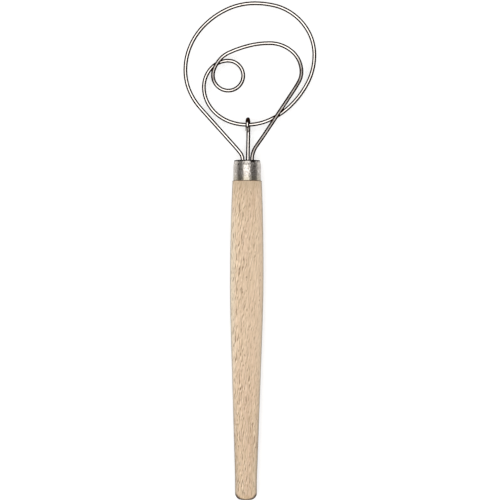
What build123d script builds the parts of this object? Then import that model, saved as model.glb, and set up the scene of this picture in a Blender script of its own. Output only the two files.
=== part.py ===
from build123d import *
import os
from math import cos, hypot, pi, radians, sin, sqrt

# A dough whisk: one stiff wire bent into a large loop, a small ring and a middle loop, and a hook
# wire that holds the low bend between them. Both wires are potted in resin in a turned beech
# handle, under a steel ferrule.
#
# The whisk lies level on its handle's belly. X runs across the head, Y along the handle towards
# the head, and Z up. The origin is on the table, under the middle of the whisk's box.
# Lengths are in millimetres and angles in degrees.

# Lengths along the handle's axis
handle_length = 219.3  # from the butt to the shoulder under the ferrule
ferrule_length = 14.0
head_reach = 109.6  # from the ferrule's rim to the far edge of the large loop

# Turned handle
belly_radius = 11.5
belly_station = 152.0  # the widest place, measured from the butt
taper_radius = 10.8  # where the straight taper runs into the belly's curve
taper_station = 115.0
barrel_radius = 7.5
barrel_length = 13.5  # the straight end behind the taper
barrel_blend_share = 0.7  # of the barrel's straight side, that its blend into the taper takes
butt_edge_radius = 4.5
shoulder_step = 0.6  # how far the wood stands proud of the ferrule
shoulder_edge_radius = 0.5

# Ferrule, a steel tube that narrows below its rim
ferrule_radius = 9.5
ferrule_wall = 0.7
neck_height = 4.0
neck_drop = 0.6  # how much narrower the rim is
ferrule_edge_radius = 0.2
glue_gap = 0.1  # between the ferrule and the wooden tenon inside it

# Punched dents in the neck, which lock the ferrule to the resin inside it
stake_angles = (-40.0, 24.0)  # to the right of the head's upper side
stake_below_rim = 2.4
stake_depth = 0.35
stake_ball_radius = 0.9

# Wires
wire_diameter = 2.7
crossing_gap = 0.45  # between two stretches of wire where one crosses over the other
wire_depth = 30.0  # how far the wires reach below the rim

# Resin round the wires, in a bore of the handle and in the ferrule's neck
resin_cover = 0.3  # between the outermost wire and the bore's wall
resin_below_wires = 2.0
resin_below_rim = 0.8

# Places of the head: across from the handle's axis, to the right, and ahead of the ferrule's rim.
# All are places of the wire's middle line.
left_leg_across = -3.2
hook_leg_across = 0.45
right_leg_across = 3.3
leg_rise = 0.4  # how far ahead of the rim the two outer legs stay straight

# The straight stretch of each outer leg
left_low_across = -8.5
left_low_ahead = 9.6
left_high_across = -32.4
left_high_ahead = 36.05
right_low_across = 12.35
right_low_ahead = 18.6
right_high_across = 31.7
right_high_ahead = 48.0

# Large loop
large_left_across = -42.8
large_left_ahead = 62.1
large_crown_across = 5.0
large_right_across = 46.0
large_right_ahead = 72.6
# Each corner between two sides: shares of the way across and ahead from side to side, and the
# heading there, turned to the left of straight across
large_left_corner_shares = (0.25, 0.645)
large_left_corner_heading = 47.1
large_right_corner_shares = (0.625, 0.195)
large_right_corner_heading = -34.7
large_low_corner_shares = (0.363, 0.735)
large_low_corner_heading = -136.8

# The low bend, which the hook holds, and the turn from it to the small ring
low_bend_across = -0.4
low_bend_ahead = 24.55
inner_left_across = -30.0
inner_left_ahead = 50.4
inner_corner_shares = (0.682, 0.263)
inner_corner_heading = 141.2

# Small ring
ring_radius = 10.4
ring_across = -13.35
ring_ahead = 58.2

# Middle loop
middle_start_across = -21.25
middle_start_ahead = 66.05
middle_start_heading = 59.5
middle_shoulder_across = -12.65
middle_shoulder_ahead = 73.9
middle_shoulder_heading = 24.6
middle_crown_across = 15.2
middle_crown_ahead = 80.45
middle_right_across = 37.05
middle_right_ahead = 60.8

# Hook: its leg slopes down to the low bend, turns up round it, runs straight over it and curls
# down behind it
hook_bend_reach = 1.3  # from the leg's corner near the rim to each end of its bend
hook_back_across = 0.8
hook_front_across = 0.05
hook_tip_across = 0.05
hook_past_bend = 0.4  # from the low bend's middle line to the end of the hook's turn
hook_top_length = 0.4  # its straight top, between the turn and the curl
hook_curl_angle = 64.0  # how far the wire curls down after that
hook_tip_length = 4.8  # from the end of the turn to the tip's end, along the handle
hook_tip_gap = 0.9  # between the tip and the leg, where the tip points at it

# Points along a wire at which its gaps are measured, and how near along it they aren't compared
gap_samples = 500
gap_skip_diameters = 4

# Stations along the handle's axis, from the butt
rim_station = handle_length + ferrule_length
tenon_end = rim_station - neck_height
resin_top = rim_station - resin_below_rim
resin_bottom = rim_station - wire_depth - resin_below_wires

# The handle's axis stands to one side of the middle of the box, because the large loop does
wire_radius = wire_diameter / 2
overall_length = rim_station + head_reach
axis_x = -(large_left_across + large_right_across) / 2
axis_z = belly_radius
butt_y = -overall_length / 2
rim_y = butt_y + rim_station
large_crown_ahead = head_reach - wire_radius

# Radii of what fits together
ferrule_bore = ferrule_radius - ferrule_wall
rim_radius = ferrule_radius - neck_drop
rim_bore = rim_radius - ferrule_wall
tenon_radius = ferrule_bore - glue_gap
shoulder_radius = ferrule_radius + shoulder_step

# The whisk wire lies in two layers, and the hook's leg in a third one under them
layer_step = wire_diameter + crossing_gap
lower_layer = -layer_step / 2
upper_layer = layer_step / 2
hook_layer = lower_layer - layer_step
outer_leg_across = max(-left_leg_across, right_leg_across)
socket_radius = hypot(outer_leg_across, upper_layer) + wire_radius + resin_cover

lengthwise = Plane(origin=(axis_x, butt_y, axis_z))
handle_axis = Axis(origin=(axis_x, butt_y, axis_z), direction=(0, 1, 0))
ahead = Vector(0, 1, 0)


def place(across, distance_ahead, layer):
    """A point of the head, from the handle's axis at the ferrule's rim."""
    return Vector(axis_x + across, rim_y + distance_ahead, axis_z + layer)


def share_between(start, end, shares, layer):
    """A point between two places, at a share of the way across and a share of the way ahead."""
    across_share, ahead_share = shares
    across = start[0] + (end[0] - start[0]) * across_share
    distance_ahead = start[1] + (end[1] - start[1]) * ahead_share
    return place(across, distance_ahead, layer)


def heading(angle, climb=0):
    """A direction at an angle to the left of straight across, which rises by climb per unit of length."""
    return Vector(cos(radians(angle)), sin(radians(angle)), climb).normalized()


def bend(start, start_direction, end, end_direction):
    """Draws two arcs, tangent to each other, that leave start and reach end in the given directions."""
    span = end - start
    along = span.dot(start_direction + end_direction)
    turn = 2 - 2 * start_direction.dot(end_direction)
    if turn > 0:
        reach = (sqrt(along**2 + turn * span.dot(span)) - along) / turn
    else:
        reach = span.dot(span) / (2 * along)
    start_corner = start + start_direction * reach
    end_corner = end - end_direction * reach
    middle = (start_corner + end_corner) / 2
    TangentArc(start, middle, tangent=start_direction)
    TangentArc(middle, end, tangent=end_corner - start_corner)


def bend_through(stops):
    """Draws a bend from each stop, a place and its direction, to the next."""
    for start, end in zip(stops, stops[1:]):
        bend(*start, *end)


def least_gap(points, skipped):
    """The least gap between wire stretches round these points, but for the skipped neighbours."""
    distances = [
        (one - other).length
        for number, one in enumerate(points)
        for other in points[number + skipped:]
    ]
    return min(distances) - wire_diameter


def report_wire(name, wire, route):
    """Prints a wire's length, its volume beside its section times its length, and its tightest bend."""
    section = pi * wire_radius**2
    tightest = min(edge.radius for edge in route.edges().filter_by(GeomType.CIRCLE))
    print(f"{name}: length {route.length:.1f}, volume {wire.volume:.1f}, "
          f"section times length {section * route.length:.1f}, tightest bend {tightest:.2f}")


# Handle, turned to a belly towards the head, with a tenon for the ferrule and a bore for the resin
barrel_corner = Vector(barrel_radius, barrel_length)
taper_end = Vector(taper_radius, taper_station)
taper_direction = (taper_end - barrel_corner).normalized()
blend_length = (barrel_length - butt_edge_radius) * barrel_blend_share
blend_start = barrel_corner - Vector(0, blend_length)
belly = Vector(belly_radius, belly_station)
shoulder = Vector(shoulder_radius, handle_length)

with BuildPart() as handle:
    with BuildSketch(lengthwise) as handle_half:
        with BuildLine() as handle_outline:
            butt = Line((0, 0), (barrel_radius - butt_edge_radius, 0))
            butt_edge = JernArc(start=butt @ 1, tangent=(1, 0), radius=butt_edge_radius, arc_size=90)
            Line(butt_edge @ 1, blend_start)
            blend = TangentArc(blend_start, barrel_corner + taper_direction * blend_length, tangent=(0, 1))
            Line(blend @ 1, taper_end)
            TangentArc(belly, taper_end, tangent=(0, -1))
            TangentArc(belly, shoulder, tangent=(0, 1))
            Polyline(
                shoulder,
                (tenon_radius, handle_length),
                (tenon_radius, tenon_end),
                (0, tenon_end),
                (0, 0),
            )
        make_face()
        fillet(handle_half.vertices().sort_by_distance(shoulder)[0], radius=shoulder_edge_radius)
    revolve(axis=handle_axis)
    with Locations(Plane(origin=(axis_x, butt_y + tenon_end, axis_z), z_dir=ahead)):
        Hole(radius=socket_radius, depth=tenon_end - resin_bottom)
handle.part.label = "handle"

# Ferrule
with BuildPart() as ferrule:
    with BuildSketch(lengthwise) as ferrule_half:
        with BuildLine() as ferrule_outline:
            Polyline(
                (ferrule_bore, handle_length),
                (ferrule_radius, handle_length),
                (ferrule_radius, tenon_end),
                (rim_radius, rim_station),
                (rim_bore, rim_station),
                (ferrule_bore, tenon_end),
                close=True,
            )
        make_face()
        fillet(ferrule_half.vertices().group_by(Axis.Y)[-1], radius=ferrule_edge_radius)
    revolve(axis=handle_axis)
    staked_radius = rim_radius + neck_drop * stake_below_rim / neck_height
    ball_distance = staked_radius + stake_ball_radius - stake_depth
    for angle in stake_angles:
        with Locations((axis_x + ball_distance * sin(radians(angle)),
                        rim_y - stake_below_rim,
                        axis_z + ball_distance * cos(radians(angle)))):
            Sphere(stake_ball_radius, mode=Mode.SUBTRACT)
ferrule.part.label = "ferrule"

# Whisk wire, from the end of its left leg to the end of its right one. It turns to the right all
# the way, and climbs from the lower layer to the upper one round the small ring.
left_end = place(left_leg_across, -wire_depth, lower_layer)
left_rim = place(left_leg_across, leg_rise, lower_layer)
left_low = place(left_low_across, left_low_ahead, lower_layer)
left_high = place(left_high_across, left_high_ahead, lower_layer)
left_direction = (left_high - left_low).normalized()
right_high = place(right_high_across, right_high_ahead, upper_layer)
right_low = place(right_low_across, right_low_ahead, upper_layer)
right_rim = place(right_leg_across, leg_rise, upper_layer)
right_end = place(right_leg_across, -wire_depth, upper_layer)
right_direction = (right_low - right_high).normalized()

large_left = (large_left_across, large_left_ahead)
large_crown = (large_crown_across, large_crown_ahead)
large_right = (large_right_across, large_right_ahead)
low_bend = (low_bend_across, low_bend_ahead)
inner_left = (inner_left_across, inner_left_ahead)
large_left_corner = share_between(large_left, large_crown, large_left_corner_shares, lower_layer)
large_right_corner = share_between(large_crown, large_right, large_right_corner_shares, lower_layer)
large_low_corner = share_between(large_right, low_bend, large_low_corner_shares, lower_layer)
inner_corner = share_between(low_bend, inner_left, inner_corner_shares, lower_layer)

# Half of the climb is in the ring's lower right quarter, and the rest in the quarters beside it
ring_climb = layer_step / 2 / (ring_radius * pi / 2)
ring_right_layer = lower_layer + layer_step / 4
ring_low_layer = upper_layer - layer_step / 4

lower_stops = [
    (left_high, left_direction),
    (place(*large_left, lower_layer), heading(90)),
    (large_left_corner, heading(large_left_corner_heading)),
    (place(*large_crown, lower_layer), heading(0)),
    (large_right_corner, heading(large_right_corner_heading)),
    (place(*large_right, lower_layer), heading(-90)),
    (large_low_corner, heading(large_low_corner_heading)),
    (place(*low_bend, lower_layer), heading(180)),
    (inner_corner, heading(inner_corner_heading)),
    (place(*inner_left, lower_layer), heading(90)),
    (place(ring_across, ring_ahead + ring_radius, lower_layer), heading(0)),
]
ring_stops = [
    lower_stops[-1],
    (place(ring_across + ring_radius, ring_ahead, ring_right_layer), heading(-90, ring_climb)),
    (place(ring_across, ring_ahead - ring_radius, ring_low_layer), heading(180, ring_climb)),
    (place(ring_across - ring_radius, ring_ahead, upper_layer), heading(90)),
]
upper_stops = [
    ring_stops[-1],
    (place(middle_start_across, middle_start_ahead, upper_layer), heading(middle_start_heading)),
    (place(middle_shoulder_across, middle_shoulder_ahead, upper_layer), heading(middle_shoulder_heading)),
    (place(middle_crown_across, middle_crown_ahead, upper_layer), heading(0)),
    (place(middle_right_across, middle_right_ahead, upper_layer), heading(-90)),
    (right_high, right_direction),
]

with BuildPart() as whisk_wire:
    with BuildLine() as whisk_route:
        Line(left_end, left_rim)
        bend(left_rim, ahead, left_low, left_direction)
        Line(left_low, left_high)
        bend_through(lower_stops)
        bend_through(ring_stops)
        bend_through(upper_stops)
        Line(right_high, right_low)
        bend(right_low, right_direction, right_rim, -ahead)
        Line(right_rim, right_end)
    with BuildSketch(Plane(origin=left_end, z_dir=ahead)):
        Circle(wire_radius)
    sweep()
whisk_wire.part.label = "whisk_wire"

# Hook wire: a straight leg that slopes back under the low bend, a turn round it and a round tip
hook_turn_ahead = low_bend_ahead + hook_past_bend
hook_turn_radius = (upper_layer - hook_layer) / 2
hook_end = place(hook_leg_across, -wire_depth, lower_layer)
hook_rim = place(hook_leg_across, leg_rise, lower_layer)
hook_corner = hook_rim + ahead * hook_bend_reach
hook_back = place(hook_back_across, hook_turn_ahead, hook_layer)
hook_slope = (hook_back - hook_corner).normalized()
hook_front = place(hook_front_across, hook_turn_ahead, upper_layer)
hook_curl_start = hook_front - ahead * hook_top_length
hook_curl = place(
    hook_front_across,
    hook_turn_ahead - hook_top_length - hook_turn_radius * sin(radians(hook_curl_angle)),
    upper_layer - hook_turn_radius * (1 - cos(radians(hook_curl_angle))),
)
hook_tip_ahead = hook_turn_ahead - hook_tip_length + wire_radius
leg_drop_rate = (hook_layer - lower_layer) / (hook_back.Y - hook_corner.Y)
leg_layer_at_tip = hook_layer - leg_drop_rate * (hook_turn_ahead - hook_tip_ahead)
hook_tip = place(hook_tip_across, hook_tip_ahead, leg_layer_at_tip + wire_diameter + hook_tip_gap)
hook_tip_direction = (hook_tip - hook_curl).normalized()

with BuildPart() as hook_wire:
    with BuildLine() as hook_route:
        Line(hook_end, hook_rim)
        leg_bend_end = hook_corner + hook_slope * hook_bend_reach
        bend(hook_rim, ahead, leg_bend_end, hook_slope)
        Line(leg_bend_end, hook_back)
        bend(hook_back, hook_slope, hook_front, -ahead)
        Line(hook_front, hook_curl_start)
        bend(hook_curl_start, -ahead, hook_curl, hook_tip_direction)
        Line(hook_curl, hook_tip)
    with BuildSketch(Plane(origin=hook_end, z_dir=ahead)):
        Circle(wire_radius)
    sweep()
    with Locations(hook_tip):
        Sphere(wire_radius)
hook_wire.part.label = "hook_wire"

# Resin, cast round the wires: a plug in the handle's bore and a head that fills the ferrule's neck
resin_top_radius = rim_bore + neck_drop * resin_below_rim / neck_height
with BuildPart() as resin_plug:
    with BuildSketch(lengthwise) as resin_half:
        with BuildLine() as resin_outline:
            Polyline(
                (0, resin_bottom),
                (socket_radius, resin_bottom),
                (socket_radius, tenon_end),
                (ferrule_bore, tenon_end),
                (resin_top_radius, resin_top),
                (0, resin_top),
                close=True,
            )
        make_face()
    revolve(axis=handle_axis)
    add(whisk_wire.part, mode=Mode.SUBTRACT)
    add(hook_wire.part, mode=Mode.SUBTRACT)
resin_plug.part.label = "resin_plug"

report_wire("whisk_wire", whisk_wire.part, whisk_route.wire())
report_wire("hook_wire", hook_wire.part, hook_route.wire())
route = whisk_route.wire()
route_points = [route @ (number / gap_samples) for number in range(gap_samples + 1)]
skipped_points = int(gap_skip_diameters * wire_diameter / route.length * gap_samples) + 1
print(f"least gap of the whisk wire to itself: {least_gap(route_points, skipped_points):.2f}")

os.makedirs("parts", exist_ok=True)
for piece in (handle, ferrule, resin_plug, whisk_wire, hook_wire):
    export_step(piece.part, f"parts/{piece.part.label}.step")
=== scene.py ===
"""The dough whisk's looks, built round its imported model: a turned beech handle, a steel ferrule,
resin in its mouth and two bent steel wires. Lengths are written in millimetres and drawn in metres."""
import math

import bpy
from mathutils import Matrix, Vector


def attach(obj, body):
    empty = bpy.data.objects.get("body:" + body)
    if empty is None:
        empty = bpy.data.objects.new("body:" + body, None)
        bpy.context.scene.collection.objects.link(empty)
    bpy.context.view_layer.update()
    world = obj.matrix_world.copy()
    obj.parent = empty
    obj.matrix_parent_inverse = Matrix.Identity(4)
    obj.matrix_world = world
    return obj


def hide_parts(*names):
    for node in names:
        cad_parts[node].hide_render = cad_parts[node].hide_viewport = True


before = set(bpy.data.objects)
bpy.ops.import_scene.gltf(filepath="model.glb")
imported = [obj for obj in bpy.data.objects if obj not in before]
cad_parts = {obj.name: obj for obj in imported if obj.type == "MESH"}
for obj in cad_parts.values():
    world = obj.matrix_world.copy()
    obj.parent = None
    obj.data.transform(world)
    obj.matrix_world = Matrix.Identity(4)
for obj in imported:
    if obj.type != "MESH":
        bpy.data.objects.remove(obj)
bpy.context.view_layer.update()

MM = 0.001

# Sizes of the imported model, under the names that its source gives them
handle_length = 219.3
ferrule_length = 14.0
head_reach = 109.6
belly_radius = 11.5
stake_angles = (-40.0, 24.0)
wire_diameter = 2.7
crossing_gap = 0.45
wire_depth = 30.0

# Places of the wires' middle lines: across from the handle's axis and ahead of the ferrule's rim
left_leg_across = -3.2
hook_leg_across = 0.45
right_leg_across = 3.3
leg_rise = 0.4
left_low_place = (-8.5, 9.6)
left_high_place = (-32.4, 36.05)
right_low_place = (12.35, 18.6)
right_high_place = (31.7, 48.0)
large_left = (-42.8, 62.1)
large_crown_across = 5.0
large_right = (46.0, 72.6)
large_left_corner_shares = (0.25, 0.645)
large_left_corner_heading = 47.1
large_right_corner_shares = (0.625, 0.195)
large_right_corner_heading = -34.7
large_low_corner_shares = (0.363, 0.735)
large_low_corner_heading = -136.8
low_bend = (-0.4, 24.55)
inner_left = (-30.0, 50.4)
inner_corner_shares = (0.682, 0.263)
inner_corner_heading = 141.2
ring_radius = 10.4
ring_across = -13.35
ring_ahead = 58.2
middle_start = (-21.25, 66.05)
middle_start_heading = 59.5
middle_shoulder = (-12.65, 73.9)
middle_shoulder_heading = 24.6
middle_crown = (15.2, 80.45)
middle_right = (37.05, 60.8)
hook_bend_reach = 1.3
hook_back_across = 0.8
hook_front_across = 0.05
hook_tip_across = 0.05
hook_past_bend = 0.4
hook_top_length = 0.4
hook_curl_angle = math.radians(64)
hook_tip_length = 4.8
hook_tip_gap = 0.9

# What follows from them
rim_station = handle_length + ferrule_length
overall_length = rim_station + head_reach
axis_x = -(large_left[0] + large_right[0]) / 2
axis_z = belly_radius
butt_y = -overall_length / 2
rim_y = butt_y + rim_station
wire_radius = wire_diameter / 2
large_crown = (large_crown_across, head_reach - wire_radius)
layer_step = wire_diameter + crossing_gap
lower_layer = -layer_step / 2
upper_layer = layer_step / 2
hook_layer = lower_layer - layer_step

# How finely the wires are drawn
bend_step = math.radians(4)
leg_bend_step = math.radians(1)
straight_step = 2.0
tip_straight_step = 1.0
tip_rings = 12
tip_least_width = 0.02
wire_sides = 28


# Lines and arcs

def arc_points(start, direction, end, step_angle):
    """Points after start along the arc that leaves it in the given direction and reaches end."""
    chord = end - start
    direction = direction.normalized()
    along = chord.dot(direction)
    side = chord - along * direction
    offset = side.length
    if offset < 1e-7 * chord.length:
        return [end.copy()]
    side.normalize()
    radius = chord.length_squared / (2 * offset)
    turn = math.atan2(along, radius - offset) % (2 * math.pi)
    steps = max(2, math.ceil(turn / step_angle))
    points = []
    for number in range(1, steps + 1):
        angle = turn * number / steps
        onward = direction * (radius * math.sin(angle))
        aside = side * (radius * (1 - math.cos(angle)))
        points.append(start + onward + aside)
    return points


def bend_points(start, start_direction, end, end_direction, step_angle=bend_step):
    """Points after start along two arcs, tangent to each other, that reach end in the given direction."""
    start_direction = start_direction.normalized()
    end_direction = end_direction.normalized()
    span = end - start
    along = span.dot(start_direction + end_direction)
    turn = 2 - 2 * start_direction.dot(end_direction)
    if turn > 1e-12:
        reach = (math.sqrt(along**2 + turn * span.length_squared) - along) / turn
    else:
        reach = span.length_squared / (2 * along)
    start_corner = start + start_direction * reach
    end_corner = end - end_direction * reach
    middle = (start_corner + end_corner) / 2
    return (arc_points(start, start_direction, middle, step_angle)
            + arc_points(middle, end_corner - start_corner, end, step_angle))


def line_points(start, end, spacing=straight_step):
    """Points after start along a straight line."""
    steps = max(1, math.ceil((end - start).length / spacing))
    return [start.lerp(end, number / steps) for number in range(1, steps + 1)]


def place(across, distance_ahead, layer):
    """A point of the head, from the handle's axis at the ferrule's rim."""
    return Vector((axis_x + across, rim_y + distance_ahead, axis_z + layer))


def heading(angle, climb=0.0):
    """A direction at an angle to the left of straight across, which rises by climb per unit of length."""
    return Vector((math.cos(math.radians(angle)), math.sin(math.radians(angle)), climb)).normalized()


def share_between(start, end, shares, layer):
    """A point between two places, at a share of the way across and a share of the way ahead."""
    across_share, ahead_share = shares
    across = start[0] + (end[0] - start[0]) * across_share
    distance_ahead = start[1] + (end[1] - start[1]) * ahead_share
    return place(across, distance_ahead, layer)


ahead = Vector((0, 1, 0))


# Middle lines of the wires

def whisk_route():
    """The whisk wire's middle line, from the end of its left leg to the end of its right one."""
    left_end = place(left_leg_across, -wire_depth, lower_layer)
    left_rim = place(left_leg_across, leg_rise, lower_layer)
    left_low = place(*left_low_place, lower_layer)
    left_high = place(*left_high_place, lower_layer)
    left_direction = (left_high - left_low).normalized()
    right_high = place(*right_high_place, upper_layer)
    right_low = place(*right_low_place, upper_layer)
    right_direction = (right_low - right_high).normalized()
    right_rim = place(right_leg_across, leg_rise, upper_layer)
    right_end = place(right_leg_across, -wire_depth, upper_layer)

    large_left_corner = share_between(large_left, large_crown, large_left_corner_shares, lower_layer)
    large_right_corner = share_between(large_crown, large_right, large_right_corner_shares, lower_layer)
    large_low_corner = share_between(large_right, low_bend, large_low_corner_shares, lower_layer)
    inner_corner = share_between(low_bend, inner_left, inner_corner_shares, lower_layer)
    # Half of the climb is in the ring's lower right quarter, and the rest in the quarters beside it
    ring_climb = layer_step / 2 / (ring_radius * math.pi / 2)
    ring_right_layer = lower_layer + layer_step / 4
    ring_low_layer = upper_layer - layer_step / 4
    stops = [
        (left_high, left_direction),
        (place(*large_left, lower_layer), heading(90)),
        (large_left_corner, heading(large_left_corner_heading)),
        (place(*large_crown, lower_layer), heading(0)),
        (large_right_corner, heading(large_right_corner_heading)),
        (place(*large_right, lower_layer), heading(-90)),
        (large_low_corner, heading(large_low_corner_heading)),
        (place(*low_bend, lower_layer), heading(180)),
        (inner_corner, heading(inner_corner_heading)),
        (place(*inner_left, lower_layer), heading(90)),
        (place(ring_across, ring_ahead + ring_radius, lower_layer), heading(0)),
        (place(ring_across + ring_radius, ring_ahead, ring_right_layer), heading(-90, ring_climb)),
        (place(ring_across, ring_ahead - ring_radius, ring_low_layer), heading(180, ring_climb)),
        (place(ring_across - ring_radius, ring_ahead, upper_layer), heading(90)),
        (place(*middle_start, upper_layer), heading(middle_start_heading)),
        (place(*middle_shoulder, upper_layer), heading(middle_shoulder_heading)),
        (place(*middle_crown, upper_layer), heading(0)),
        (place(*middle_right, upper_layer), heading(-90)),
        (right_high, right_direction),
    ]

    route = [left_end] + line_points(left_end, left_rim)
    route += bend_points(left_rim, ahead, left_low, left_direction)
    route += line_points(left_low, left_high)
    for (start, start_direction), (end, end_direction) in zip(stops, stops[1:]):
        route += bend_points(start, start_direction, end, end_direction)
    route += line_points(right_high, right_low)
    route += bend_points(right_low, right_direction, right_rim, -ahead)
    route += line_points(right_rim, right_end)
    return route, [1.0] * len(route)


def hook_route():
    """The hook wire's middle line, and the share of its full width that it has at each point."""
    turn_ahead = low_bend[1] + hook_past_bend
    turn_radius = (upper_layer - hook_layer) / 2
    end = place(hook_leg_across, -wire_depth, lower_layer)
    rim = place(hook_leg_across, leg_rise, lower_layer)
    corner = rim + ahead * hook_bend_reach
    back = place(hook_back_across, turn_ahead, hook_layer)
    slope = (back - corner).normalized()
    leg_bend_end = corner + slope * hook_bend_reach
    front = place(hook_front_across, turn_ahead, upper_layer)
    curl_start = front - ahead * hook_top_length
    curl_ahead = turn_ahead - hook_top_length - turn_radius * math.sin(hook_curl_angle)
    curl_layer = upper_layer - turn_radius * (1 - math.cos(hook_curl_angle))
    curl = place(hook_front_across, curl_ahead, curl_layer)
    tip_ahead = turn_ahead - hook_tip_length + wire_radius
    leg_drop_rate = (hook_layer - lower_layer) / (back.y - corner.y)
    leg_layer_at_tip = hook_layer - leg_drop_rate * (turn_ahead - tip_ahead)
    tip = place(hook_tip_across, tip_ahead, leg_layer_at_tip + wire_diameter + hook_tip_gap)
    tip_direction = (tip - curl).normalized()

    route = [end] + line_points(end, rim)
    route += bend_points(rim, ahead, leg_bend_end, slope, leg_bend_step)
    route += line_points(leg_bend_end, back)
    route += bend_points(back, slope, front, -ahead)
    route += line_points(front, curl_start, tip_straight_step)
    route += bend_points(curl_start, -ahead, curl, tip_direction)
    route += line_points(curl, tip, tip_straight_step)
    widths = [1.0] * len(route)
    for number in range(1, tip_rings + 1):
        angle = math.radians(90 * number / tip_rings)
        route.append(tip + tip_direction * (wire_radius * math.sin(angle)))
        widths.append(max(math.cos(angle), tip_least_width))
    return route, widths


# Nodes

class Net:
    """Short ways to add and join nodes in one tree."""

    def __init__(self, tree):
        self.tree = tree

    def node(self, kind, **settings):
        made = self.tree.nodes.new(kind)
        for name, value in settings.items():
            setattr(made, name, value)
        return made

    def feed(self, socket, value):
        """Links a socket to another one, or sets it to a constant."""
        if isinstance(value, bpy.types.NodeSocket):
            self.tree.links.new(value, socket)
        else:
            socket.default_value = value

    def math(self, operation, *values, clamp=False):
        made = self.node("ShaderNodeMath", operation=operation, use_clamp=clamp)
        for socket, value in zip(made.inputs, values):
            self.feed(socket, value)
        return made.outputs[0]

    def times(self, first, second):
        return self.math("MULTIPLY", first, second)

    def times_plus(self, first, second, added):
        return self.math("MULTIPLY_ADD", first, second, added)

    def vector(self, operation, *values, output="Vector"):
        made = self.node("ShaderNodeVectorMath", operation=operation)
        for socket, value in zip(made.inputs, values):
            self.feed(socket, value)
        return made.outputs[output]

    def parts(self, vector):
        """The X, Y and Z of a vector."""
        made = self.node("ShaderNodeSeparateXYZ")
        self.feed(made.inputs[0], vector)
        return made.outputs

    def round_axis(self, vector, angle):
        """A vector turned round the handle's axis."""
        made = self.node("ShaderNodeVectorRotate", rotation_type="Y_AXIS")
        self.feed(made.inputs["Vector"], vector)
        self.feed(made.inputs["Angle"], angle)
        return made.outputs[0]

    def tint(self, tone, share, colour):
        """The tone with a share of another colour mixed in."""
        made = self.node("ShaderNodeMix", data_type="RGBA")
        self.feed(made.inputs["Factor"], share)
        self.feed(made.inputs["A"], tone)
        self.feed(made.inputs["B"], colour)
        return made.outputs["Result"]

    def steps(self, value, low, high, at_low=0.0, at_high=1.0):
        """A smooth step from one level to another while the value goes from low to high."""
        made = self.node("ShaderNodeMapRange", interpolation_type="SMOOTHSTEP")
        self.feed(made.inputs["Value"], value)
        self.feed(made.inputs["From Min"], low)
        self.feed(made.inputs["From Max"], high)
        self.feed(made.inputs["To Min"], at_low)
        self.feed(made.inputs["To Max"], at_high)
        return made.outputs["Result"]

    def rise(self, value, low, high, top=1.0):
        return self.steps(value, low, high, 0.0, top)

    def fall(self, value, low, high, top=1.0):
        return self.steps(value, low, high, top, 0.0)

    def stretch(self, value, start, end):
        """A mask that rises over the range at its start and falls over the range at its end."""
        return self.times(self.rise(value, *start), self.fall(value, *end))

    def facing(self):
        """How far the surface turns away from the eye."""
        made = self.node("ShaderNodeLayerWeight")
        made.inputs["Blend"].default_value = 0.5
        return made.outputs["Facing"]

    def group(self, tree, **values):
        """One of the shader groups, placed with its own values."""
        made = self.node("ShaderNodeGroup", node_tree=tree)
        for name, value in values.items():
            self.feed(made.inputs[name.title()], value)
        return made.outputs

    def streaks(self, **values):
        return self.group(streaks, **values)["Streak"]

    def bump(self, shader, height, strength, distance_mm):
        made = self.node("ShaderNodeBump")
        made.inputs["Strength"].default_value = strength
        made.inputs["Distance"].default_value = distance_mm * MM
        self.feed(made.inputs["Height"], height)
        self.feed(shader.inputs["Normal"], made.outputs["Normal"])


def shader_group(name, inputs, outputs):
    """An empty shader group with named inputs and outputs."""
    tree = bpy.data.node_groups.new(name, "ShaderNodeTree")
    for label, kind, value in inputs:
        socket = tree.interface.new_socket(label, in_out="INPUT", socket_type="NodeSocket" + kind)
        if value is not None:
            socket.default_value = value
    for label, kind in outputs:
        tree.interface.new_socket(label, in_out="OUTPUT", socket_type="NodeSocket" + kind)
    net = Net(tree)
    return tree, net, net.node("NodeGroupInput").outputs, net.node("NodeGroupOutput").inputs


def specks_group():
    """Specks, one to a cell, round or pointed at both ends: a mask, and a random tone for each."""
    tree, net, given, made = shader_group(
        "specks",
        [("Place", "Vector", None), ("Spacing", "Vector", (1, 1, 1)), ("Share", "Float", 0.5),
         ("Width", "Float", 0.4), ("Softness", "Float", 0.1), ("Pointed", "Float", 0.0),
         ("Scatter", "Float", 1.0)],
        [("Speck", "Float"), ("Tone", "Float")],
    )
    least_speck = 0.001
    cells = net.node("ShaderNodeTexVoronoi", feature="F1")
    spaced = net.vector("DIVIDE", given["Place"], given["Spacing"])
    net.feed(cells.inputs["Vector"], spaced)
    net.feed(cells.inputs["Randomness"], given["Scatter"])
    cells.inputs["Scale"].default_value = 1.0
    inside = net.parts(net.vector("SUBTRACT", spaced, cells.outputs["Position"]))
    lens = net.times(net.math("POWER", inside["Y"], 2.0), 2.0)
    lens = net.math("ADD", lens, net.math("ABSOLUTE", inside["X"]))
    lens = net.times_plus(net.math("ABSOLUTE", inside["Z"]), 0.5, lens)
    past_round = net.math("SUBTRACT", lens, cells.outputs["Distance"])
    away = net.times_plus(past_round, given["Pointed"], cells.outputs["Distance"])
    random = net.node("ShaderNodeSeparateColor")
    net.feed(random.inputs[0], cells.outputs["Color"])
    size = net.steps(random.outputs["Red"], net.math("SUBTRACT", 1.0, given["Share"]), 1.0)
    size = net.times(size, given["Width"])
    outer = net.math("ADD", size, given["Softness"])
    shown = net.math("GREATER_THAN", size, least_speck)
    net.feed(made["Speck"], net.times(net.fall(away, size, outer), shown))
    net.feed(made["Tone"], random.outputs["Green"])
    return tree


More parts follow.
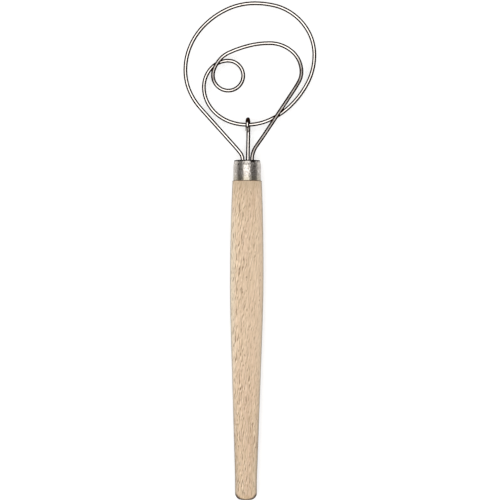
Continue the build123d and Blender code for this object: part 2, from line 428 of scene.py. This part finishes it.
def streaks_group():
    """Soft noise stretched along a grain, spread between two levels."""
    tree, net, given, made = shader_group(
        "streaks",
        [("Place", "Vector", None), ("Spacing", "Vector", (1, 1, 1)), ("Detail", "Float", 3.0),
         ("Low", "Float", 0.35), ("High", "Float", 0.65)],
        [("Streak", "Float")],
    )
    noise = net.node("ShaderNodeTexNoise")
    net.feed(noise.inputs["Vector"], net.vector("DIVIDE", given["Place"], given["Spacing"]))
    noise.inputs["Scale"].default_value = 1.0
    noise.inputs["Roughness"].default_value = 0.6
    net.feed(noise.inputs["Detail"], given["Detail"])
    net.feed(made["Streak"], net.steps(noise.outputs["Fac"], given["Low"], given["High"]))
    return tree


specks = specks_group()
streaks = streaks_group()


# Materials. Their colours are linear, and their spacings in millimetres.

def new_material(name):
    """A material with one Principled shader, whose roughness and colour are still to be fed."""
    material = bpy.data.materials.new(name)
    material.use_nodes = True
    nodes = material.node_tree.nodes
    nodes.clear()
    output = nodes.new("ShaderNodeOutputMaterial")
    shader = nodes.new("ShaderNodeBsdfPrincipled")
    material.node_tree.links.new(shader.outputs["BSDF"], output.inputs["Surface"])
    return material, shader, Net(material.node_tree)


def from_axis(net):
    """Object coordinates measured from the handle's axis at the butt, in millimetres."""
    coordinates = net.node("ShaderNodeTexCoord").outputs["Object"]
    moved = net.vector("SUBTRACT", coordinates, (axis_x * MM, butt_y * MM, axis_z * MM))
    return net.vector("MULTIPLY", moved, (1 / MM, 1 / MM, 1 / MM))


def beech():
    """Bare turned beech: dark dashes and ray flecks along the grain, over pink and straw patches."""
    straw = (0.690, 0.560, 0.405, 1)
    pink = (0.690, 0.525, 0.385, 1)
    yellow = (0.685, 0.565, 0.385, 1)
    band_brown = (0.520, 0.380, 0.250, 1)
    pale = (0.800, 0.655, 0.490, 1)
    fibre_brown = (0.500, 0.370, 0.240, 1)
    hair_brown = (0.520, 0.370, 0.240, 1)
    chalky = (0.700, 0.610, 0.470, 1)
    gleam_white = (0.960, 0.830, 0.680, 1)
    dash_brown = (0.170, 0.090, 0.040, 1)
    spot_brown = (0.240, 0.150, 0.085, 1)
    butt_amber = (0.520, 0.350, 0.180, 1)
    shoulder_brown = (0.500, 0.390, 0.265, 1)
    painted_side_shade = (0.320, 0.290, 0.240, 1)
    butt_edge_shade_black = (0.040, 0.018, 0.006, 1)
    seam_shade_brown = (0.100, 0.055, 0.025, 1)
    board_angle = math.radians(14)
    ray_twist = -0.036
    rows_round = 38.0
    row_lean = 0.014
    clouds_apart = (70, 400, 0)

    material, shader, net = new_material("beech")
    place_mm = from_axis(net)
    station = net.parts(place_mm)
    board = net.round_axis(place_mm, board_angle)
    leaning = net.round_axis(place_mm, net.times(station["Y"], ray_twist))
    facing = net.facing()

    # Broad tones
    patches = net.streaks(place=board, spacing=(10, 60, 10), low=0.36, high=0.64)
    cloud_place = net.vector("ADD", board, clouds_apart)
    clouds = net.streaks(place=cloud_place, spacing=(7, 26, 7), low=0.45, high=0.7)
    bands = net.streaks(place=board, spacing=(1.2, 80, 2.6), detail=4.0, low=0.38, high=0.66)
    middle = net.stretch(station["Y"], (30.0, 120.0), (175.0, 215.0))
    tone = net.tint(straw, patches, pink)
    tone = net.tint(tone, net.times(clouds, 0.5), yellow)
    tone = net.tint(tone, net.times(bands, 0.6), band_brown)
    tone = net.tint(tone, net.times_plus(middle, 0.35, 0.12), pale)

    # Fibres, and a chalky strip along the left of the belly
    fibres = net.streaks(place=board, spacing=(0.7, 7.0, 0.7), detail=4.0, low=0.3, high=0.7)
    hairs = net.streaks(place=board, spacing=(0.13, 3.0, 0.13), low=0.35, high=0.7)
    left_strip = net.times(net.fall(station["X"], -10.5, -6.5, top=0.75), middle)
    tone = net.tint(tone, net.times(fibres, 0.32), fibre_brown)
    tone = net.tint(tone, net.times(hairs, 0.25), hair_brown)
    tone = net.tint(tone, left_strip, chalky)

    # Dashes in leaning rows round the handle, with gleams between the rows, crowded to the left
    turn = net.times_plus(station["Y"], -row_lean, net.math("ARCTAN2", station["X"], station["Z"]))
    wobble = net.streaks(place=board, spacing=(1.8, 7.0, 1.8), detail=0.0, low=0.2, high=0.8)
    rows = net.math("SINE", net.times_plus(turn, rows_round, net.times(wobble, 4.5)))
    broken = net.streaks(place=board, spacing=(0.9, 3.4, 0.9), detail=0.0, low=0.4, high=0.6)
    dashes = net.times(net.rise(rows, 0.0, 0.9), broken)
    gleams = net.times(net.rise(rows, 0.0, -0.9), broken)
    crowd = net.streaks(place=board, spacing=(6, 16, 20), low=0.4, high=0.6)
    left_face = net.steps(station["X"], -8.5, 3.0, at_low=0.72, at_high=0.36)
    thin_part = net.steps(station["Y"], 40.0, 120.0, at_low=1.4, at_high=1.0)
    crowd_level = net.times(net.times_plus(crowd, 0.25, left_face), thin_part)
    tone = net.tint(tone, net.times(gleams, net.times(crowd_level, 0.5)), gleam_white)

    # Ray flecks among the dashes, and a few dark spots
    rays = net.group(specks, place=leaning, spacing=(0.85, 2.8, 0.85), share=0.6, width=0.4,
                     softness=0.06, pointed=1.0, scatter=0.9)
    ray_depth = net.times(rays["Speck"], net.steps(rays["Tone"], 0.3, 1.0, at_low=0.1, at_high=1.0))
    marks = net.times_plus(dashes, 0.68, net.times(ray_depth, 0.4))
    depth = net.math("MULTIPLY", marks, crowd_level, clamp=True)
    spots = net.group(specks, place=board, spacing=(2.6, 4.5, 3), share=0.12, width=0.16, softness=0.05)
    tone = net.tint(tone, depth, dash_brown)
    tone = net.tint(tone, net.times(spots["Speck"], 0.6), spot_brown)

    # Darker ends and sides: the butt and the shoulder, and painted shade on the sides, the butt's edge
    # and the ferrule's seam
    tone = net.tint(tone, net.fall(station["Y"], 0.0, 5.0, top=0.55), butt_amber)
    tone = net.tint(tone, net.rise(station["Y"], 208.0, handle_length, top=0.55), shoulder_brown)
    # Painted shade: the sides turn grey where they turn away from the eye
    tone = net.tint(tone, net.rise(facing, 0.6, 0.85, top=0.85), painted_side_shade)
    # Painted shade along the edge of the butt, where the surface turns away from the eye
    butt_edge_shade = net.rise(facing, 0.3, 0.6)
    butt_edge_shade = net.times(butt_edge_shade, net.steps(station["Y"], 3.0, 5.5, at_low=1.0, at_high=0.3))
    butt_edge_shade = net.times(butt_edge_shade, net.fall(station["Y"], 20.0, 85.0))
    butt_edge_shade = net.times(butt_edge_shade, net.steps(station["Y"], 0.02, 0.2, at_low=0.3, at_high=1.0))
    tone = net.tint(tone, butt_edge_shade, butt_edge_shade_black)
    # Painted shade in the seam's gap under the ferrule
    seam_edge = net.times_plus(fibres, 0.25, station["Y"])
    seam = net.rise(seam_edge, handle_length - 0.45, handle_length - 0.2, top=0.9)
    tone = net.tint(tone, seam, seam_shade_brown)

    net.feed(shader.inputs["Base Color"], tone)
    net.feed(shader.inputs["Roughness"], net.times_plus(fibres, 0.14, 0.52))
    shader.inputs["Specular IOR Level"].default_value = 0.3
    shader.inputs["Diffuse Roughness"].default_value = 1.0
    height = net.times_plus(depth, -0.6, net.times(fibres, 0.5))
    net.bump(shader, height, strength=0.3, distance_mm=0.05)
    return material


def ferrule_steel():
    """Satin stainless sheet, mottled, pitted and rubbed, tinted by glue, with painted shade at its dents,
    rim and sides.
    """
    bright = (0.660, 0.620, 0.580, 1)
    dull = (0.320, 0.290, 0.260, 1)
    pit_grey = (0.210, 0.190, 0.170, 1)
    rubbed_grey = (0.270, 0.245, 0.220, 1)
    glue_tint = (0.330, 0.290, 0.200, 1)
    dent_shade_black = (0.025, 0.018, 0.015, 1)
    rim_shade_black = (0.015, 0.010, 0.008, 1)
    painted_side_shade = (0.200, 0.180, 0.160, 1)
    dent_from_axis = 9.2
    left_dent, right_dent = stake_angles
    # Each dent's angle, how far below the rim its mark of painted shade is, and the mark's width and
    # height
    marks = ((left_dent, 2.9, 0.9, 1.1), (right_dent, 1.3, 2.2, 0.9))

    material, shader, net = new_material("ferrule_steel")
    place_mm = from_axis(net)
    station = net.parts(place_mm)
    mottle = net.streaks(place=place_mm, spacing=(1.2, 1.4, 1.2), detail=1.5, low=0.3, high=0.7)
    rubbed = net.streaks(place=place_mm, spacing=(0.5, 4.0, 0.5), detail=5.0, low=0.35, high=0.7)
    fine = net.streaks(place=place_mm, spacing=(0.35, 0.35, 0.35), low=0.3, high=0.7)
    pits = net.group(specks, place=place_mm, spacing=(0.8, 1.0, 0.8), share=0.5, width=0.3, softness=0.15)
    tone = net.tint(bright, mottle, dull)
    tone = net.tint(tone, net.times(pits["Speck"], 0.4), pit_grey)
    tone = net.tint(tone, net.times(rubbed, 0.35), rubbed_grey)
    tone = net.tint(tone, net.fall(station["Y"], handle_length, handle_length + 5.5, top=0.6), glue_tint)
    # Painted shade round each dent
    for angle, below_rim, wide, tall in marks:
        across = dent_from_axis * math.sin(math.radians(angle))
        up = dent_from_axis * math.cos(math.radians(angle))
        from_dent = net.vector("SUBTRACT", place_mm, (across, rim_station - below_rim, up))
        from_dent = net.vector("DIVIDE", from_dent, (wide, tall, wide))
        away = net.vector("LENGTH", from_dent, output="Value")
        tone = net.tint(tone, net.fall(away, 0.35, 1.0, top=0.85), dent_shade_black)
    # Painted shade in a thin band just below the rim
    rim_edge = net.times_plus(mottle, 0.25, station["Y"])
    tone = net.tint(tone, net.rise(rim_edge, rim_station - 0.95, rim_station - 0.6, top=0.97), rim_shade_black)
    # Painted shade: the sides turn grey where they turn away from the eye
    tone = net.tint(tone, net.rise(net.facing(), 0.6, 0.9, top=0.4), painted_side_shade)

    net.feed(shader.inputs["Base Color"], tone)
    shader.inputs["Metallic"].default_value = 1.0
    net.feed(shader.inputs["Roughness"], net.times_plus(fine, 0.12, 0.24))
    height = net.times_plus(pits["Speck"], -0.2, net.times_plus(fine, 0.06, mottle))
    net.bump(shader, height, strength=1.0, distance_mm=0.06)
    return material


def wire_steel():
    """Polished drawn wire: streaked along its length, with painted shade at its rims and a painted dark
    reflection on one side of two stretches.
    """
    bright = (0.650, 0.615, 0.580, 1)
    dull = (0.560, 0.520, 0.485, 1)
    drawn_brown = (0.250, 0.205, 0.175, 1)
    pit_brown = (0.100, 0.075, 0.060, 1)
    dark_reflection_black = (0.030, 0.018, 0.014, 1)
    rim_shade_black = (0.030, 0.012, 0.006, 1)
    rim_glint = (0.05, 0.04, 0.03, 1)
    # A painted dark reflection lies on the left of the right leg, and these stretches of the wire have it
    right_of_leg = (0.836, -0.549, 0.0)
    leg_stretch = ((496.0, 516.0), (578.0, 590.0))
    shoulder_stretch = ((424.0, 431.0), (440.0, 452.0))

    material, shader, net = new_material("wire_steel")
    along = net.node("ShaderNodeAttribute", attribute_name="along").outputs["Fac"]
    round_share = net.node("ShaderNodeAttribute", attribute_name="round").outputs["Fac"]
    steepness = net.node("ShaderNodeAttribute", attribute_name="fall").outputs["Fac"]
    along_mm = net.math("DIVIDE", along, MM)
    angle = net.times(round_share, 2 * math.pi)
    surface = net.node("ShaderNodeCombineXYZ")
    net.feed(surface.inputs[0], along_mm)
    net.feed(surface.inputs[1], net.math("COSINE", angle))
    net.feed(surface.inputs[2], net.math("SINE", angle))
    skin = surface.outputs[0]
    drawn = net.streaks(place=skin, spacing=(20, 0.11, 0.11), low=0.42, high=0.75)
    blotches = net.streaks(place=skin, spacing=(2.8, 0.9, 0.9), low=0.35, high=0.7)
    pits = net.group(specks, place=skin, spacing=(1.4, 0.5, 0.5), share=0.3, width=0.25, softness=0.15)
    tone = net.tint(bright, blotches, dull)
    tone = net.tint(tone, net.times(drawn, 0.25), drawn_brown)
    tone = net.tint(tone, net.times(pits["Speck"], 0.5), pit_brown)

    # Painted dark reflection on one side of the stretches listed above
    normal = net.node("ShaderNodeTexCoord").outputs["Normal"]
    side = net.vector("DOT_PRODUCT", normal, right_of_leg, output="Value")
    dark_reflection_side = net.stretch(side, (-0.65, -0.4), (0.0, 0.3))
    dark_reflection_length = net.times_plus(net.stretch(along_mm, *shoulder_stretch), 0.9,
                                    net.stretch(along_mm, *leg_stretch))
    strength = net.times(dark_reflection_length, net.times_plus(blotches, -0.35, 0.9))
    tone = net.tint(tone, net.times(dark_reflection_side, strength), dark_reflection_black)

    # Painted shade at the rims, for the dark reflection there, but less where the wire runs downwards
    rim = net.times(net.rise(net.facing(), 0.018, 0.09),
                    net.steps(steepness, 0.3, 0.7, at_low=1.0, at_high=0.25))
    tone = net.tint(tone, rim, rim_shade_black)

    net.feed(shader.inputs["Base Color"], tone)
    shader.inputs["Metallic"].default_value = 1.0
    shader.inputs["Specular Tint"].default_value = rim_glint
    net.feed(shader.inputs["Roughness"], net.times_plus(blotches, 0.1, 0.1))
    height = net.times_plus(pits["Speck"], -0.6, drawn)
    net.bump(shader, height, strength=0.3, distance_mm=0.02)
    return material


def resin():
    """Cast resin in the ferrule's mouth, slightly amber, with small bubbles."""
    amber = (0.470, 0.380, 0.240, 1)
    brown = (0.350, 0.265, 0.155, 1)
    bubble_brown = (0.170, 0.120, 0.070, 1)
    material, shader, net = new_material("resin")
    place_mm = from_axis(net)
    cloud = net.streaks(place=place_mm, spacing=(2, 2, 2))
    bubbles = net.group(specks, place=place_mm, spacing=(1.2, 1.2, 1.2), share=0.4, width=0.25,
                        softness=0.1)
    tone = net.tint(amber, cloud, brown)
    tone = net.tint(tone, net.times(bubbles["Speck"], 0.5), bubble_brown)
    net.feed(shader.inputs["Base Color"], tone)
    net.feed(shader.inputs["Roughness"], net.times_plus(cloud, 0.2, 0.25))
    net.bump(shader, net.math("SUBTRACT", cloud, bubbles["Speck"]), strength=0.5, distance_mm=0.2)
    return material


wire_material = wire_steel()


# Wires, swept along their middle lines

def with_values(net, label, geometry, value):
    """The geometry with a number stored at each of its points."""
    store = net.node("GeometryNodeStoreNamedAttribute", data_type="FLOAT", domain="POINT")
    store.inputs["Name"].default_value = label
    net.feed(store.inputs["Geometry"], geometry)
    net.feed(store.inputs["Value"], value)
    return store.outputs["Geometry"]


def wire_tree():
    """The tree that turns a line of points into round wire."""
    tree = bpy.data.node_groups.new("bent_wire", "GeometryNodeTree")
    for label, kind, value in (("Line", "Geometry", None), ("Wire Radius", "Float", wire_radius * MM),
                               ("Sides", "Int", wire_sides), ("Metal", "Material", wire_material)):
        socket = tree.interface.new_socket(label, in_out="INPUT", socket_type="NodeSocket" + kind)
        if value is not None:
            socket.default_value = value
    tree.interface.new_socket("Wire", in_out="OUTPUT", socket_type="NodeSocketGeometry")
    net = Net(tree)
    given = net.node("NodeGroupInput").outputs
    made = net.node("NodeGroupOutput").inputs

    line = net.node("GeometryNodeMeshToCurve")
    net.feed(line.inputs["Mesh"], given["Line"])
    length = net.node("GeometryNodeSplineParameter").outputs["Length"]
    width = net.node("GeometryNodeInputNamedAttribute", data_type="FLOAT")
    width.inputs["Name"].default_value = "width"
    set_width = net.node("GeometryNodeSetCurveRadius")
    net.feed(set_width.inputs["Curve"], with_values(net, "along", line.outputs["Curve"], length))
    net.feed(set_width.inputs["Radius"], width.outputs["Attribute"])

    circle = net.node("GeometryNodeCurvePrimitiveCircle", mode="RADIUS")
    net.feed(circle.inputs["Resolution"], given["Sides"])
    net.feed(circle.inputs["Radius"], given["Wire Radius"])
    round_share = net.node("GeometryNodeSplineParameter").outputs["Factor"]
    profile = with_values(net, "round", circle.outputs["Curve"], round_share)

    sweep = net.node("GeometryNodeCurveToMesh")
    sweep.inputs["Fill Caps"].default_value = True
    net.feed(sweep.inputs["Curve"], set_width.outputs["Curve"])
    net.feed(sweep.inputs["Profile Curve"], profile)
    whole = net.node("GeometryNodeRealizeInstances")
    net.feed(whole.inputs["Geometry"], sweep.outputs["Mesh"])
    smooth = net.node("GeometryNodeSetShadeSmooth")
    net.feed(smooth.inputs["Geometry"], whole.outputs["Geometry"])
    paint = net.node("GeometryNodeSetMaterial")
    net.feed(paint.inputs["Geometry"], smooth.outputs["Geometry"])
    net.feed(paint.inputs["Material"], given["Metal"])
    net.feed(made["Wire"], paint.outputs["Geometry"])
    return tree


bent_wire = wire_tree()


def swept_wire(name, route, widths):
    """A piece of round wire along a route, with the steepness of its fall stored at each point."""
    line = bpy.data.meshes.new(name + "_line")
    line.from_pydata([point * MM for point in route], [(n, n + 1) for n in range(len(route) - 1)], [])
    directions = [(end - start).normalized() for start, end in zip(route, route[1:])]
    falls = [max(-direction.z, 0.0) for direction in directions + directions[-1:]]
    for label, values in (("width", widths), ("fall", falls)):
        attribute = line.attributes.new(label, "FLOAT", "POINT")
        attribute.data.foreach_set("value", values)
    piece = bpy.data.objects.new(name, line)
    bpy.context.scene.collection.objects.link(piece)
    modifier = piece.modifiers.new("wire", "NODES")
    modifier.node_group = bent_wire
    piece.data.materials.append(wire_material)
    evaluated = piece.evaluated_get(bpy.context.evaluated_depsgraph_get())
    solid = bpy.data.meshes.new_from_object(evaluated)
    piece.modifiers.remove(modifier)
    piece.data = solid
    solid.name = name
    return piece


whisk = swept_wire("whisk_wire_polished", *whisk_route())
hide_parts("whisk_wire")
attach(whisk, "root")
hook = swept_wire("hook_wire_polished", *hook_route())
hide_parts("hook_wire")
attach(hook, "root")

for node, material in (("handle", beech()), ("ferrule", ferrule_steel()), ("resin_plug", resin())):
    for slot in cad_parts[node].material_slots:
        slot.material = material


# Stage and light, whose places and sizes are in metres

def white_floor():
    """White paint that takes the whisk's shadow, with a glow that makes up the photograph's white."""
    paint_white = (0.5, 0.5, 0.497, 1)
    glow_white = (1, 1, 0.995, 1)
    glow_strength = 0.58
    material = bpy.data.materials.new("floor_white")
    material.use_nodes = True
    material.node_tree.nodes.clear()
    net = Net(material.node_tree)
    diffuse = net.node("ShaderNodeBsdfDiffuse")
    diffuse.inputs["Color"].default_value = paint_white
    glow = net.node("ShaderNodeEmission")
    glow.inputs["Color"].default_value = glow_white
    path = net.node("ShaderNodeLightPath")
    seen = net.math("ADD", path.outputs["Is Camera Ray"], path.outputs["Is Glossy Ray"])
    seen = net.math("ADD", seen, path.outputs["Is Transmission Ray"], clamp=True)
    net.feed(glow.inputs["Strength"], net.times(seen, glow_strength))
    both = net.node("ShaderNodeAddShader")
    net.feed(both.inputs[0], diffuse.outputs["BSDF"])
    net.feed(both.inputs[1], glow.outputs["Emission"])
    output = net.node("ShaderNodeOutputMaterial")
    net.feed(output.inputs["Surface"], both.outputs[0])
    return material


def area_light(name, location, size, strength, seen_in_metal=True, lights_wood=True, aim=(0, 0, 0)):
    """A soft panel of light, aimed at a point, whose strength is its brightness beside white."""
    light = bpy.data.lights.new(name, "AREA")
    light.shape = "RECTANGLE"
    light.size, light.size_y = size
    light.energy = strength * math.pi * size[0] * size[1]
    light_object = bpy.data.objects.new(name, light)
    light_object.location = location
    light_object.rotation_euler = (Vector(aim) - Vector(location)).to_track_quat("-Z", "Y").to_euler()
    light_object.visible_glossy = seen_in_metal
    light_object.visible_diffuse = lights_wood
    bpy.context.scene.collection.objects.link(light_object)


def dim_room():
    """A world that is a little brighter in the metal than on the wood."""
    warm_white = (1, 0.97, 0.94, 1)
    strength = 0.12
    more_in_metal = 0.07
    world = bpy.data.worlds.new("room")
    world.use_nodes = True
    world.node_tree.nodes.clear()
    net = Net(world.node_tree)
    background = net.node("ShaderNodeBackground")
    background.inputs["Color"].default_value = warm_white
    in_metal = net.node("ShaderNodeLightPath").outputs["Is Glossy Ray"]
    net.feed(background.inputs["Strength"], net.times_plus(in_metal, more_in_metal, strength))
    output = net.node("ShaderNodeOutputWorld")
    net.feed(output.inputs["Surface"], background.outputs[0])
    return world


half = 12.0
corners = [(-half, -half, 0), (half, -half, 0), (half, half, 0), (-half, half, 0)]
floor_mesh = bpy.data.meshes.new("floor")
floor_mesh.from_pydata(corners, [], [(0, 1, 2, 3)])
floor = bpy.data.objects.new("floor", floor_mesh)
bpy.context.scene.collection.objects.link(floor)
floor_mesh.materials.append(white_floor())

# The panel straight above draws the bright lines on the metal. The soft top and the fills light the
# wood and the floor alone, and the low cards beyond the head and the butt light the metal alone.
fill_size = (1.6, 2.2)
card_size = (3.0, 0.9)
area_light("panel", location=(-0.2, 0.0, 1.6), size=(1.6, 1.7), strength=2.3, aim=(-0.2, 0.0, 0.0))
area_light("soft_top", location=(0.0, 0.0, 2.2), size=(2.4, 2.4), strength=1.6, seen_in_metal=False)
area_light("left_fill", location=(-2.1, 0.0, 1.2), size=fill_size, strength=0.6, seen_in_metal=False)
area_light("right_fill", location=(2.1, 0.0, 1.2), size=fill_size, strength=0.4, seen_in_metal=False)
area_light("head_card", location=(0.0, 2.4, 0.5), size=card_size, strength=0.8, lights_wood=False)
area_light("butt_card", location=(0.0, -2.4, 0.5), size=card_size, strength=0.8, lights_wood=False)
bpy.context.scene.world = dim_room()

# Camera, straight above the whisk and turned a little as in the photograph
camera_across = 0.55
camera_ahead = 0.18
camera_height = 1250.0
camera_roll = math.radians(0.21)
field_width = 343.8
camera = bpy.data.cameras.new("camera")
camera.sensor_width = 36.0
camera.lens = camera.sensor_width * camera_height / field_width
camera_object = bpy.data.objects.new("camera", camera)
camera_object.location = (camera_across * MM, camera_ahead * MM, (axis_z + camera_height) * MM)
camera_object.rotation_euler = (0, 0, camera_roll)
bpy.context.scene.collection.objects.link(camera_object)
bpy.context.scene.camera = camera_object
bpy.context.scene.view_settings.view_transform = "Standard"
